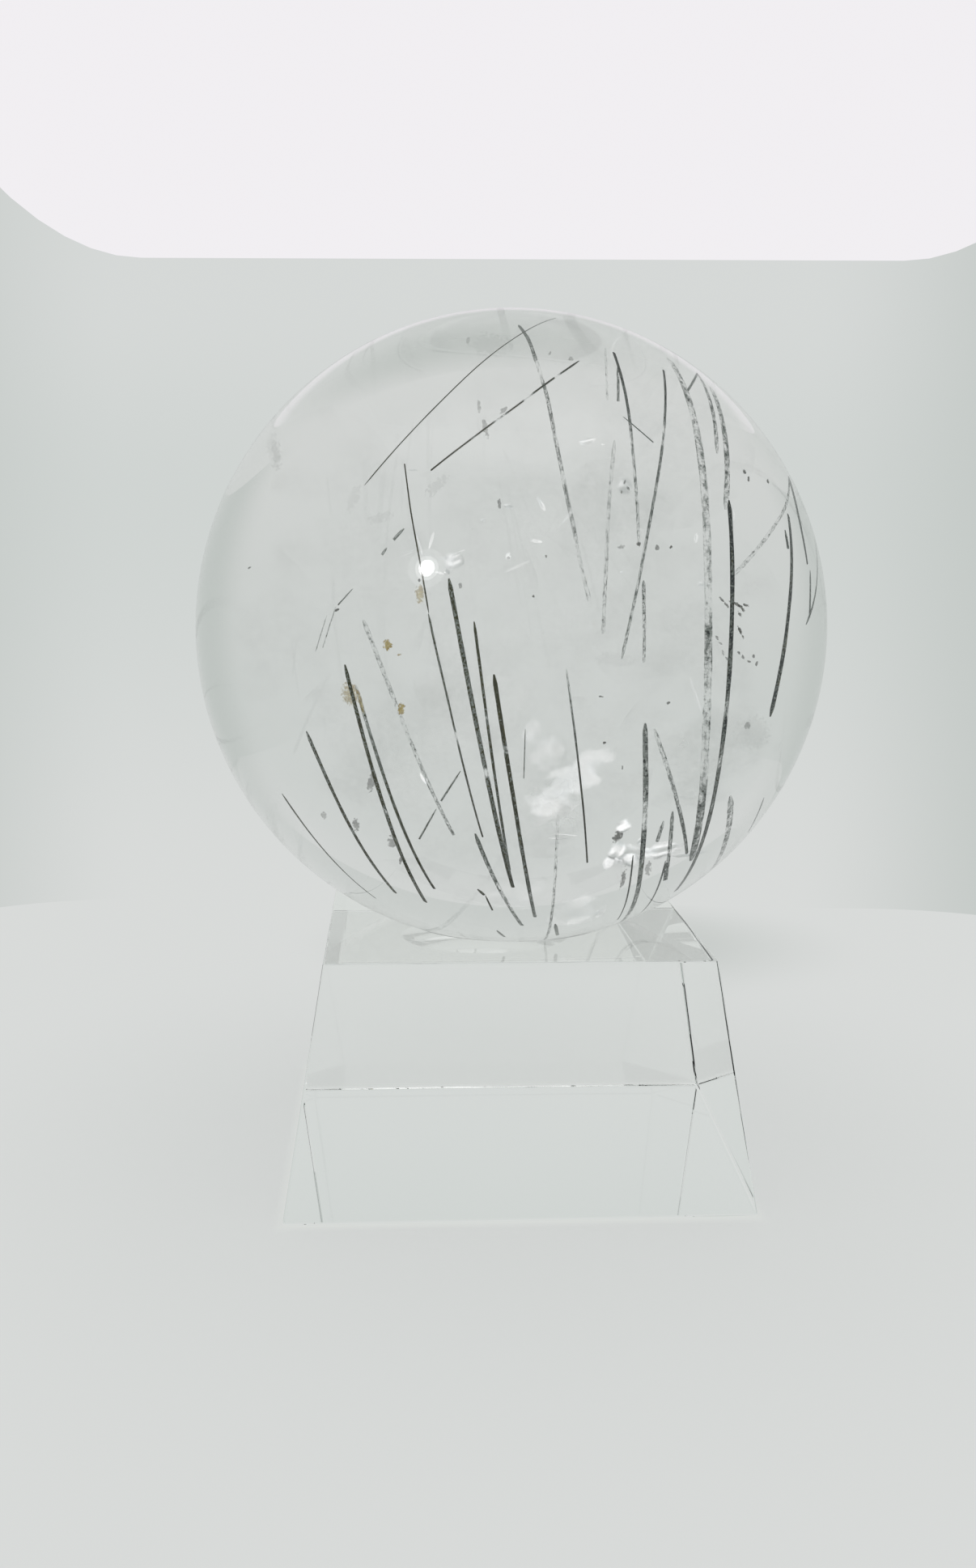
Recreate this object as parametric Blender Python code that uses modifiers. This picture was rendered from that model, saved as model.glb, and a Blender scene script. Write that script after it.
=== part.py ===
"""Crystal ball on a glass stand.

A polished ball of clear quartz, shot through with dark tourmaline needles, rests in a dish that is
ground in the top of a clear glass block with sloping sides. Metres, +Z up. The origin is the middle
of the stand's base, and -Y is the front.
"""
import math
from typing import NamedTuple

import bmesh
import bpy
from mathutils import Matrix, Vector

# Ball
BALL_DIAMETER = 0.088
BALL_SEGMENTS = 64
BALL_RINGS = 32

# Stand: a square block that narrows upwards, with flat ground edges
STAND_BASE_WIDTH = 0.062
STAND_TOP_WIDTH = 0.052
STAND_HEIGHT = 0.033
TOP_ARRIS = 0.0003
SIDE_ARRIS = 0.0008
BASE_ARRIS = 0.0008

# Seat: how far the ball sinks below the stand's top, and the gap to the dish that holds it
SEAT_DEPTH = 0.0026
SEAT_GAP = 0.0003

# Needles: tourmaline is three-sided with blunted corners, and narrows to a blunt tip
NEEDLE_SIDES = 6
BLUNT_CORNER_SHARE = 0.82
TIP_LENGTH = 0.0012
TIP_WIDTH_SHARE = 0.45
NEEDLE_GAP = 0.0003

# Worked out from the sizes above
BALL_RADIUS = BALL_DIAMETER / 2
BALL_CENTRE = Vector((0, 0, STAND_HEIGHT - SEAT_DEPTH + BALL_RADIUS))
GROWN_LENGTH = 1.25 * BALL_DIAMETER
CHANNEL_MARGIN = NEEDLE_GAP / math.cos(math.pi / NEEDLE_SIDES)


class Needle(NamedTuple):
    """A needle grown in the crystal: its width, and two points on its line from the ball's centre.

    It ends inside at its tip, and runs past its outlet until the ball's polished surface cuts it.
    """
    name: str
    mineral: str
    width: float
    tip: tuple
    outlet: tuple


NEEDLES = (
    # Above the middle
    Needle("needle_top_hair", "dark", 0.00035, (-0.0175, -0.0210, 0.0165), (0.0040, -0.0165, 0.0405)),
    Needle("needle_top_slant", "dark", 0.00045, (0.0060, -0.0090, 0.0280), (-0.0125, -0.0375, 0.0200)),
    Needle("needle_top_to_back", "dark", 0.0005, (0.0005, 0.0005, 0.0295), (0.0090, 0.0430, 0.0005)),
    Needle("needle_left_upper", "dark", 0.00045, (-0.0105, -0.0245, 0.0030), (-0.0155, -0.0360, 0.0215)),
    Needle("needle_right_top_thin", "dark", 0.0005, (0.0115, -0.0200, 0.0100), (0.0105, -0.0240, 0.0355)),
    Needle("needle_right_top_slant", "dark", 0.00055, (0.0100, -0.0135, -0.0020), (0.0170, -0.0230, 0.0340)),
    Needle("needle_right_top_short", "dark", 0.0007, (0.0205, -0.0140, 0.0195), (0.0225, -0.0165, 0.0340)),
    Needle("needle_right_upper", "dark", 0.0009, (0.0210, -0.0155, 0.0135), (0.0240, -0.0185, 0.0325)),
    Needle("needle_back_faint", "pale", 0.0005, (0.0095, 0.0275, 0.0125), (0.0100, 0.0430, -0.0020)),
    # Through the middle
    Needle("needle_left_long", "dark", 0.0005, (-0.0085, -0.0075, 0.0020), (-0.0060, -0.0375, -0.0230)),
    Needle("needle_left_pale", "pale", 0.0007, (-0.0120, 0.0105, 0.0005), (-0.0095, -0.0365, -0.0225)),
    Needle("needle_middle_dark", "dark", 0.0007, (-0.0075, -0.0160, 0.0060), (-0.0020, -0.0320, -0.0295)),
    Needle("needle_middle_thin", "dark", 0.0004, (-0.0055, -0.0220, 0.0020), (-0.0025, -0.0345, -0.0275)),
    Needle("needle_middle_low", "dark", 0.0007, (-0.0030, -0.0175, -0.0035), (0.0015, -0.0265, -0.0355)),
    Needle("needle_middle_right", "dark", 0.0005, (0.0045, -0.0140, -0.0030), (0.0070, -0.0345, -0.0265)),
    Needle("needle_right_middle_short", "dark", 0.0005, (0.0120, -0.0250, 0.0065), (0.0120, -0.0425, -0.0015)),
    # The spray at the lower left
    Needle("needle_spray_inner", "dark", 0.00055, (-0.0150, -0.0035, -0.0050), (-0.0115, -0.0295, -0.0310)),
    Needle("needle_spray_middle", "dark", 0.00055, (-0.0200, -0.0255, -0.0025), (-0.0125, -0.0260, -0.0335)),
    Needle("needle_spray_outer", "dark", 0.0005, (-0.0230, -0.0160, -0.0100), (-0.0165, -0.0250, -0.0320)),
    Needle("needle_spray_hair", "dark", 0.00035, (-0.0225, -0.0010, -0.0160), (-0.0190, -0.0205, -0.0340)),
    # Below the middle
    Needle("needle_bottom_left", "dark", 0.0006, (-0.0055, -0.0235, -0.0210), (0.0000, -0.0240, -0.0370)),
    Needle("needle_bottom_middle", "dark", 0.0005, (0.0035, -0.0230, -0.0185), (0.0040, -0.0150, -0.0410)),
    Needle("needle_bottom_right", "dark", 0.0008, (0.0125, -0.0250, -0.0085), (0.0145, -0.0150, -0.0390)),
    Needle("needle_bottom_pale", "pale", 0.0006, (0.0135, -0.0165, -0.0090), (0.0205, -0.0285, -0.0265)),
    # Down the right side
    Needle("needle_right_long_front", "dark", 0.0009, (0.0225, -0.0250, 0.0160), (0.0210, -0.0195, -0.0330)),
    Needle("needle_right_long_back", "dark", 0.0011, (0.0190, -0.0100, -0.0240), (0.0185, -0.0185, 0.0355)),
    Needle("needle_rim_slant", "pale", 0.0006, (0.0200, 0.0020, 0.0050), (0.0350, -0.0170, 0.0210)),
    Needle("needle_rim_upper", "dark", 0.0005, (0.0270, 0.0025, 0.0150), (0.0360, -0.0235, 0.0100)),
    Needle("needle_rim_long", "dark", 0.0006, (0.0260, -0.0100, -0.0080), (0.0330, -0.0245, 0.0160)),
    Needle("needle_rim_short", "dark", 0.0005, (0.0285, -0.0025, 0.0010), (0.0390, -0.0155, 0.0130)),
    Needle("needle_rim_low", "pale", 0.0009, (0.0230, -0.0155, -0.0170), (0.0265, -0.0165, -0.0305)),
)


def clear_scene():
    for item in list(bpy.data.objects):
        bpy.data.objects.remove(item, do_unlink=True)


def add_collection(name, parent):
    group = bpy.data.collections.new(name)
    parent.children.link(group)
    return group


def add_material(name, colour, roughness, transmission=0.0, ior=1.5):
    material = bpy.data.materials.new(name)
    material.use_nodes = True
    shader = material.node_tree.nodes["Principled BSDF"]
    shader.inputs["Base Color"].default_value = (*colour, 1.0)
    shader.inputs["Roughness"].default_value = roughness
    shader.inputs["Metallic"].default_value = 0.0
    shader.inputs["Transmission Weight"].default_value = transmission
    shader.inputs["IOR"].default_value = ior
    return material


def mesh_from(bm, name):
    mesh = bpy.data.meshes.new(name)
    bm.to_mesh(mesh)
    bm.free()
    return mesh


def add_piece(name, mesh, group, material=None, parent=None):
    piece = bpy.data.objects.new(name, mesh)
    group.objects.link(piece)
    piece.parent = parent
    if material:
        mesh.materials.append(material)
    return piece


def add_cutter(name, mesh, group, parent):
    cutter = add_piece(name, mesh, group, parent=parent)
    cutter.hide_render = True
    cutter.display_type = "WIRE"
    return cutter


def add_boolean(piece, name, operation, cutter=None, cutters=None):
    cut = piece.modifiers.new(name, "BOOLEAN")
    cut.operation = operation
    cut.solver = "EXACT"
    if cutters:
        cut.operand_type = "COLLECTION"
        cut.collection = cutters
    else:
        cut.object = cutter
    return cut


def ball_mesh(name, radius):
    bm = bmesh.new()
    bmesh.ops.create_uvsphere(bm, u_segments=BALL_SEGMENTS, v_segments=BALL_RINGS, radius=radius)
    mesh = mesh_from(bm, name)
    mesh.shade_smooth()
    return mesh


def stand_mesh(name):
    """A four-sided cone turned square to the axes, each edge weighted for its own ground arris."""
    bm = bmesh.new()
    quarter_turn = Matrix.Rotation(math.pi / 4, 4, "Z")
    bmesh.ops.create_cone(
        bm, cap_ends=True, segments=4, depth=STAND_HEIGHT,
        radius1=STAND_BASE_WIDTH / math.sqrt(2), radius2=STAND_TOP_WIDTH / math.sqrt(2),
        matrix=Matrix.Translation((0, 0, STAND_HEIGHT / 2)) @ quarter_turn)
    weight = bm.edges.layers.float.new("bevel_weight_edge")
    middle = STAND_HEIGHT / 2
    for edge in bm.edges:
        above = [vert.co.z > middle for vert in edge.verts]
        if all(above):
            arris = TOP_ARRIS
        elif any(above):
            arris = SIDE_ARRIS
        else:
            arris = BASE_ARRIS
        edge[weight] = arris / widest_arris()
    return mesh_from(bm, name)


def widest_arris():
    return max(TOP_ARRIS, SIDE_ARRIS, BASE_ARRIS)


def needle_mesh(name, width, tip_end):
    """A prism along +Z that starts at height tip_end with its blunt tip."""
    bm = bmesh.new()
    bmesh.ops.create_cone(
        bm, cap_ends=True, segments=NEEDLE_SIDES, depth=TIP_LENGTH,
        radius1=TIP_WIDTH_SHARE * width / 2, radius2=width / 2,
        matrix=Matrix.Translation((0, 0, tip_end + TIP_LENGTH / 2)))
    shank = max(bm.faces, key=lambda face: face.calc_center_median().z)
    far_end = bmesh.ops.extrude_discrete_faces(bm, faces=[shank])["faces"][0]
    bmesh.ops.translate(bm, vec=(0, 0, GROWN_LENGTH), verts=far_end.verts)
    for vert in bm.verts:
        corner = round(math.atan2(vert.co.y, vert.co.x) / math.tau * NEEDLE_SIDES)
        if corner % 2:
            vert.co.xy *= BLUNT_CORNER_SHARE
    bmesh.ops.recalc_face_normals(bm, faces=bm.faces)
    return mesh_from(bm, name)


def lay_along(piece, needle):
    """Put a needle or its channel on the needle's line, with +Z running from its tip to its outlet."""
    tip = Vector(needle.tip)
    piece.location = tip
    piece.rotation_mode = "QUATERNION"
    piece.rotation_quaternion = (Vector(needle.outlet) - tip).to_track_quat("Z", "Y")


def build_stand(parts, cutters, glass, seat):
    stand = add_piece("glass_stand", stand_mesh("glass_stand"), parts, glass)
    arrises = stand.modifiers.new("ground_arrises", "BEVEL")
    arrises.limit_method = "WEIGHT"
    arrises.width = widest_arris()
    arrises.segments = 1
    dish = add_cutter("dish_cutter", ball_mesh("dish_cutter", BALL_RADIUS + SEAT_GAP), cutters, seat)
    add_boolean(stand, "dish", "DIFFERENCE", cutter=dish)


def build_ball(parts, channels, quartz, seat):
    ball = add_piece("quartz_ball", ball_mesh("quartz_ball", BALL_RADIUS), parts, quartz, seat)
    add_boolean(ball, "needle_channels", "DIFFERENCE", cutters=channels)


def build_needles(parts, cutters, channels, minerals, seat):
    polish = add_cutter("polished_surface", ball_mesh("polished_surface", BALL_RADIUS), cutters, seat)
    for needle in NEEDLES:
        mesh = needle_mesh(needle.name, needle.width, 0)
        crystal = add_piece(needle.name, mesh, parts, minerals[needle.mineral], seat)
        lay_along(crystal, needle)
        add_boolean(crystal, "polished_end", "INTERSECT", cutter=polish)
        channel_name = "channel_of_" + needle.name
        channel_width = needle.width + 2 * CHANNEL_MARGIN
        channel = add_cutter(
            channel_name, needle_mesh(channel_name, channel_width, -CHANNEL_MARGIN), channels, seat)
        lay_along(channel, needle)


def build():
    clear_scene()
    parts = add_collection("crystal_ball", bpy.context.scene.collection)
    cutters = add_collection("cutters", bpy.context.scene.collection)
    channels = add_collection("needle_channels", cutters)

    glass = add_material("stand_glass", (0.86, 0.90, 0.88), 0.03, transmission=1.0, ior=1.52)
    quartz = add_material("rock_crystal", (0.93, 0.95, 0.94), 0.02, transmission=1.0, ior=1.544)
    minerals = {
        "dark": add_material("tourmaline_dark", (0.028, 0.032, 0.030), 0.30, ior=1.63),
        "pale": add_material("tourmaline_pale", (0.33, 0.36, 0.34), 0.40, ior=1.63),
    }

    # The ball turns about the upright line through its seat
    seat = bpy.data.objects.new("ball_turn", None)
    parts.objects.link(seat)
    seat.location = BALL_CENTRE

    build_stand(parts, cutters, glass, seat)
    build_needles(parts, cutters, channels, minerals, seat)
    build_ball(parts, channels, quartz, seat)


build()
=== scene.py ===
# %% [markdown]
# # A ball of rock crystal on a glass stand
# The real object is a ball ground and polished from one clear quartz crystal. Dark needles of tourmaline
# grew inside that crystal before it was cut. The ball rests in a shallow dish in the top of a clear glass
# block. This lesson loads the plain solids of that object, measures them, and dresses each one in Blender.
# Every length is in metres and every piece is made where the solid already is.

# %% Load the solids
import math
import random

import bmesh
import bpy
from mathutils import Matrix, Vector, noise


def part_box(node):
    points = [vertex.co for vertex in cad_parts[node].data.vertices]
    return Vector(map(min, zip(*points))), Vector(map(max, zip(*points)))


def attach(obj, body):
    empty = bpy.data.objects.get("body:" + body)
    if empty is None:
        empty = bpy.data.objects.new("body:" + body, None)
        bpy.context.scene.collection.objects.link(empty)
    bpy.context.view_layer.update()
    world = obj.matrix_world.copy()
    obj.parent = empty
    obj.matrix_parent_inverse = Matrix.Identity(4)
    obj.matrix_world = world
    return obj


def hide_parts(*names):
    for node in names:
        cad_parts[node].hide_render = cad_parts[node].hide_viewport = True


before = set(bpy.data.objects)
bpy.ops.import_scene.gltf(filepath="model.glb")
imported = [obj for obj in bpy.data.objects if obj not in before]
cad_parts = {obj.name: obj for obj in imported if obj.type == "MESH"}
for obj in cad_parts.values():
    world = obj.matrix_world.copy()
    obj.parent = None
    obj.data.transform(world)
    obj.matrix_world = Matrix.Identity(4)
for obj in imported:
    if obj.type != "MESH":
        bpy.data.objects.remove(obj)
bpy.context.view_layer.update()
MM = 0.001
BALL_BODY, STAND_BODY = "ball", "stand"

# %% [markdown]
# ## Measure before making
# The ball and the block are simple enough to be described by a few numbers: the ball's middle and radius,
# and the block's two widths and its height. Those could be typed in, but a typed number goes wrong as soon
# as the solid changes. Here they are read from the solids.


# %% Measure the ball and the block
DECIMALS = 7
RIM_REACH = 0.01 * MM


def corner_points(node):
    """The different corners of a solid, because its triangles don't share them."""
    corners = {tuple(round(c, DECIMALS) for c in v.co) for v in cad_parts[node].data.vertices}
    return [Vector(corner) for corner in sorted(corners)]


ball_low, ball_high = (Vector(corner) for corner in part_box("quartz_ball"))
BALL_MIDDLE = (ball_low + ball_high) / 2
BALL_RADIUS = (ball_high.z - ball_low.z) / 2

stand_low, stand_high = (Vector(corner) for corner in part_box("glass_stand"))
STAND_HEIGHT = stand_high.z
STAND_BASE = stand_high.x - stand_low.x
rim_points = [p for p in corner_points("glass_stand") if p.z > STAND_HEIGHT - RIM_REACH]
STAND_TOP = 2 * max(p.x for p in rim_points)
print("ball", BALL_MIDDLE, BALL_RADIUS, "stand", STAND_BASE, STAND_TOP, STAND_HEIGHT)

# %% [markdown]
# ## Writing shaders as sums
# A material in Blender is a web of nodes. Drawing the web by hand in code takes many lines, so this cell
# makes two small helpers. Wire wraps one socket, and adding or multiplying two wires adds the Math node
# that does it. Finish holds one node tree, and its node method adds any other kind of node.


# %% A socket that can be used in sums
class Wire:
    """One output socket that can be used in a sum."""

    def __init__(self, finish, socket):
        self.finish, self.socket = finish, socket

    def sum(self, operation, *values):
        return self.finish.node("ShaderNodeMath", {"operation": operation}, dict(enumerate(values)))

    def __add__(self, other):
        return self.sum("ADD", self, other)

    def __sub__(self, other):
        return self.sum("SUBTRACT", self, other)

    def __mul__(self, other):
        return self.sum("MULTIPLY", self, other)


print("a wire can be added, subtracted and multiplied")


# %% Helpers for node trees
def pick(sockets, key):
    """A socket by its number, or the one in use of those that share its name."""
    if isinstance(key, int):
        return sockets[key]
    return next(s for s in sockets if s.name == key and s.enabled)


class Finish:
    """A node tree that is filled one node at a time."""

    def __init__(self, tree):
        self.tree = tree

    def feed(self, socket, value):
        if isinstance(value, Wire):
            self.tree.links.new(value.socket, socket)
        else:
            socket.default_value = value

    def node(self, kind, settings, sockets, output=None):
        made = self.tree.nodes.new(kind)
        for key, value in settings.items():
            setattr(made, key, value)
        for key, value in sockets.items():
            self.feed(pick(made.inputs, key), value)
        first = next(s.name for s in made.outputs if s.enabled)
        return Wire(self, pick(made.outputs, output or first))

    def mix(self, share, first, second):
        sockets = {"Factor": share, "A": first, "B": second}
        return self.node("ShaderNodeMix", {"data_type": "RGBA"}, sockets)

    def vector(self, operation, *values):
        return self.node("ShaderNodeVectorMath", {"operation": operation}, dict(enumerate(values)))

    def split(self, vector, axes):
        """The named parts of a vector."""
        return [self.node("ShaderNodeSeparateXYZ", {}, {"Vector": vector}, axis) for axis in axes]

    def step(self, value, start, end, low=0.0, high=1.0):
        """A soft step from low at start to high at end."""
        sockets = {"Value": value, "From Min": start, "From Max": end, "To Min": low, "To Max": high}
        return self.node("ShaderNodeMapRange", {"interpolation_type": "SMOOTHSTEP"}, sockets)

    def cloud(self, place, scale, detail=3.0):
        sockets = {"Vector": place, "Scale": scale, "Detail": detail}
        return self.node("ShaderNodeTexNoise", {}, sockets, "Fac")

    def attribute(self, name):
        return self.node("ShaderNodeAttribute", {"attribute_name": name}, {}, "Fac")

    def place(self):
        return self.node("ShaderNodeTexCoord", {}, {}, "Object")


def new_material(name):
    """A fresh material, its node helper and its main shader."""
    material = bpy.data.materials.new(name)
    material.use_nodes = True
    return material, Finish(material.node_tree), material.node_tree.nodes["Principled BSDF"].inputs


print("node helpers ready")

# %% [markdown]
# ## Light
# Clear crystal has no colour of its own. What we see in it is the room, turned upside down and bent, so the
# light has to be right before the crystal can be. Small lamps would make noise inside the glass. So the
# world itself is painted by direction and lights everything evenly: a grey wall, a white band a little above
# eye level, a grey ceiling, and a brighter patch high up in front.

# %% Paint the world
WALL_COLOUR = (0.63, 0.66, 0.645, 1.0)
BAND_COLOUR = (0.88, 0.86, 0.885, 1.0)
CEILING_COLOUR = (0.59, 0.62, 0.605, 1.0)
TOP_LIGHT_COLOUR = (1.3, 1.3, 1.3, 1.0)
BAND_START, BAND_END = (0.1, 0.15), (0.35, 0.46)
TOP_EDGE, TOP_BACK = (0.72, 0.95), (0.1, -0.2)

world = bpy.data.worlds.new("soft_room")
world.use_nodes = True
bpy.context.scene.world = world
room = Finish(world.node_tree)
direction = room.node("ShaderNodeTexCoord", {}, {}, "Generated")
depth, height = room.split(direction, "YZ")
colour = room.mix(room.step(height, *BAND_START), WALL_COLOUR, BAND_COLOUR)
colour = room.mix(room.step(height, *BAND_END), colour, CEILING_COLOUR)
in_top_light = room.step(height, *TOP_EDGE) * room.step(depth, *TOP_BACK)
colour = room.mix(in_top_light, colour, TOP_LIGHT_COLOUR)
room.feed(world.node_tree.nodes["Background"].inputs["Color"], colour)
bpy.context.scene.view_settings.view_transform = "Standard"
print("world painted")

# %% [markdown]
# ## Floor
# The object stands on a pale sheet without a visible edge. A lit sheet would be too dark where the light
# comes to it through stone and glass, so the sheet glows at one plain level, and real light and shade are
# mixed in close round the block only. Two tones are painted: painted light on the square that the block
# covers, a little dimmer than the open sheet, and the soft painted shadow that the ball throws behind it.


# %% Helpers for the studio
def stage_piece(name, shape, material):
    """Put a piece of the studio, which isn't part of the object, into the scene."""
    piece = bpy.data.objects.new(name, bpy.data.meshes.new(name))
    shape.to_mesh(piece.data)
    shape.free()
    piece.data.materials.append(material)
    bpy.context.collection.objects.link(piece)


def surface(material, shader):
    """Make a shader the one that a material shows."""
    output = material.node_tree.nodes["Material Output"]
    material.node_tree.links.new(shader.socket, output.inputs["Surface"])


print("studio helpers ready")

# %% Paint the floor
FLOOR_ROUGHNESS, FLOOR_GLOSS = 0.9, 0.2
UNDER_BLOCK, BLOCK_EDGE = 0.0305, 0.0325
FLOOR_NEAR, FLOOR_FAR = 0.036, 0.11
FLOOR_SHADE = 0.22
FLOOR_COLOUR = (0.89, 0.9, 0.895, 1.0)
GLOW_COLOUR = (0.69, 0.705, 0.695, 1.0)
# painted light: the square under the block glows a little dimmer than the open floor, for the light that
# reaches it through the glass
UNDER_LIGHT_COLOUR = (0.68, 0.7, 0.68, 1.0)
SHADOW_COLOUR = (0.54, 0.57, 0.55, 1.0)
SHADOW_PLACE, SHADOW_SIZE = (0.025, 0.11, 0.0), (0.067, 0.05, 1.0)
SHADOW_CORE = 0.1

floor_material, paper, floor_shader = new_material("pale_floor")
reach = paper.vector("LENGTH", paper.place())
aside, ahead = paper.split(paper.place(), "XY")
square_reach = aside.sum("MAXIMUM", aside.sum("ABSOLUTE", aside), ahead.sum("ABSOLUTE", ahead))
floor_shader["Base Color"].default_value = FLOOR_COLOUR
floor_shader["Roughness"].default_value = FLOOR_ROUGHNESS
floor_shader["Specular IOR Level"].default_value = FLOOR_GLOSS
lit = Wire(paper, floor_material.node_tree.nodes["Principled BSDF"].outputs["BSDF"])
beside = paper.step(square_reach, UNDER_BLOCK, BLOCK_EDGE)
from_shadow = paper.vector("DIVIDE", paper.vector("SUBTRACT", paper.place(), SHADOW_PLACE), SHADOW_SIZE)
shadow_reach = paper.vector("LENGTH", from_shadow)
shadow = paper.step(shadow_reach, SHADOW_CORE, 1.0, 1.0, 0.0)
# the painted light under the block and the painted shadow behind the ball are mixed into the glow
glow_colour = paper.mix(shadow, paper.mix(beside, UNDER_LIGHT_COLOUR, GLOW_COLOUR), SHADOW_COLOUR)
glow = paper.node("ShaderNodeEmission", {}, {"Color": glow_colour})
shade = beside * paper.step(reach, FLOOR_NEAR, FLOOR_FAR, FLOOR_SHADE, 0.0)
surface(floor_material, paper.node("ShaderNodeMixShader", {}, {0: shade, 1: glow, 2: lit}))
print("floor painted")

# %% Lay the floor
FLOOR_RADIUS, FLOOR_SIDES = 1.5, 96
FLOOR_DROP = 0.15 * MM

floor_shape = bmesh.new()
bmesh.ops.create_circle(floor_shape, cap_ends=True, segments=FLOOR_SIDES, radius=FLOOR_RADIUS)
bmesh.ops.translate(floor_shape, verts=floor_shape.verts, vec=(0, 0, -FLOOR_DROP))
stage_piece("floor", floor_shape, floor_material)
print("floor laid", FLOOR_RADIUS)

# %% [markdown]
# ## A paper tent
# Shiny things are often photographed between sheets of white paper, so that they have something plain to
# mirror. Four low paper walls stand round this object, and the white band shows above them. The walls glow
# by themselves. Their sides are darker with painted shade, which draws the edge of the ball, and painted
# light makes them lighter towards their heads. Only the inner sides can be seen: the outer sides let light
# and every camera through.

# %% Colour the tent
TENT_FOOT, TENT_HEAD = 0.1, 0.15
SIDE_START, SIDE_FULL = 0.08, 0.15
# painted light at the heads of the glowing walls, and painted shade on the side walls
HEAD_LIGHT_COLOUR = (0.67, 0.69, 0.68, 1.0)
SIDE_SHADE_COLOUR = (0.53, 0.565, 0.545, 1.0)

tent_material, tent, _ = new_material("paper_tent")
outside = tent.node("ShaderNodeNewGeometry", {}, {}, "Backfacing")
aside, up = tent.split(tent.place(), "XZ")
wall_colour = tent.mix(tent.step(up, 0.0, TENT_FOOT), GLOW_COLOUR, WALL_COLOUR)
# painted light towards the heads of the walls, then painted shade on the side walls
wall_colour = tent.mix(tent.step(up, TENT_FOOT, TENT_HEAD), wall_colour, HEAD_LIGHT_COLOUR)
side_shade = tent.step(aside.sum("ABSOLUTE", aside), SIDE_START, SIDE_FULL)
wall_colour = tent.mix(side_shade, wall_colour, SIDE_SHADE_COLOUR)
wall = tent.node("ShaderNodeEmission", {}, {"Color": wall_colour})
clear = tent.node("ShaderNodeBsdfTransparent", {}, {})
surface(tent_material, tent.node("ShaderNodeMixShader", {}, {0: outside, 1: wall, 2: clear}))
print("tent coloured")

# %% Stand the tent on the floor
TENT_REACH = 0.15
TENT_TOP, TENT_RISE = 0.1557, 0.1
TENT_SIDES = 4
TENT_TURN = math.radians(-5.1)
TENT_ROUND, TENT_ROUND_STEPS = 0.06, 16

tent_shape = bmesh.new()
corner_reach = TENT_REACH / math.cos(math.pi / TENT_SIDES)
bmesh.ops.create_cone(tent_shape, cap_ends=False, segments=TENT_SIDES, radius1=corner_reach,
                      radius2=corner_reach, depth=TENT_TOP)
to_front = Matrix.Rotation(math.pi / TENT_SIDES, 3, "Z")
bmesh.ops.rotate(tent_shape, verts=tent_shape.verts, matrix=to_front)
uprights = [e for e in tent_shape.edges if not e.is_boundary]
bmesh.ops.bevel(tent_shape, geom=uprights, offset=TENT_ROUND, offset_type="OFFSET", affect="EDGES",
                segments=TENT_ROUND_STEPS, profile=0.5, material=-1)
for vert in tent_shape.verts:
    if vert.co.z > 0:
        vert.co.z += TENT_RISE * min(1.0, (TENT_REACH - vert.co.y) / TENT_ROUND)
bmesh.ops.rotate(tent_shape, verts=tent_shape.verts, matrix=Matrix.Rotation(TENT_TURN, 3, "Z"))
bmesh.ops.translate(tent_shape, verts=tent_shape.verts, vec=(0, 0, TENT_TOP / 2 - FLOOR_DROP))
bmesh.ops.reverse_faces(tent_shape, faces=tent_shape.faces)
stage_piece("paper_tent", tent_shape, tent_material)
print("tent", TENT_REACH, TENT_TOP)

# %% [markdown]
# ## Camera and highlight
# The camera stands low and close, tilted a little down. A ball this shiny always shows a small bright image
# of the nearest lamp. A lamp that only mirrors can see gives that image and leaves the even light as it is.
# It is made of four discs, each wider and dimmer than the one before it, so that the image has a soft edge.

# %% Place the camera
IMAGE_WIDTH, IMAGE_HEIGHT = 1206, 1938
FOCAL_PIXELS = 1802.16
SENSOR = 36.0
LIGHT_BOUNCES = 32
NEAREST_VIEW = 1 * MM
CAMERA_PLACE = Vector((-0.01664, -0.20813, 0.08346))
CAMERA_TILT, CAMERA_ROLL, CAMERA_YAW = (math.radians(a) for a in (8.44, 0.51, -3.75))

camera = bpy.data.objects.new("camera", bpy.data.cameras.new("camera"))
camera.data.sensor_width = SENSOR
camera.data.lens = FOCAL_PIXELS / IMAGE_HEIGHT * SENSOR
camera.data.clip_start = NEAREST_VIEW
camera_turn = Matrix.Rotation(CAMERA_YAW, 4, "Z") @ Matrix.Rotation(math.pi / 2 - CAMERA_TILT, 4, "X")
camera_turn = camera_turn @ Matrix.Rotation(CAMERA_ROLL, 4, "Z")
camera.matrix_world = Matrix.Translation(CAMERA_PLACE) @ camera_turn
bpy.context.collection.objects.link(camera)
bpy.context.scene.camera = camera
bpy.context.scene.cycles.max_bounces = LIGHT_BOUNCES
bpy.context.scene.cycles.transmission_bounces = LIGHT_BOUNCES
bpy.context.scene.cycles.transparent_max_bounces = LIGHT_BOUNCES
print("camera lens", round(camera.data.lens, 2))

# %% Hang the small lamp
LAMP_PLACE = Vector((-0.0631, -0.1131, 0.1197))
LAMP_GLOW = ((8.5 * MM, 0.0031), (11 * MM, 0.002), (16 * MM, 0.0014), (26 * MM, 0.0015))
LAMP_STEP = 0.5 * MM

outward = (LAMP_PLACE - BALL_MIDDLE).normalized()
facing = outward.to_track_quat("Z", "Y").to_matrix().to_4x4()
for ring, (width, power) in enumerate(LAMP_GLOW):
    disc = bpy.data.lights.new(f"small_lamp_{ring}", "AREA")
    disc.shape, disc.size, disc.energy = "DISK", width, power
    lamp = bpy.data.objects.new(disc.name, disc)
    lamp.matrix_world = Matrix.Translation(LAMP_PLACE + outward * LAMP_STEP * ring) @ facing
    lamp.visible_camera = lamp.visible_diffuse = lamp.visible_transmission = False
    bpy.context.collection.objects.link(lamp)
print("lamp", LAMP_PLACE)

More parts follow.
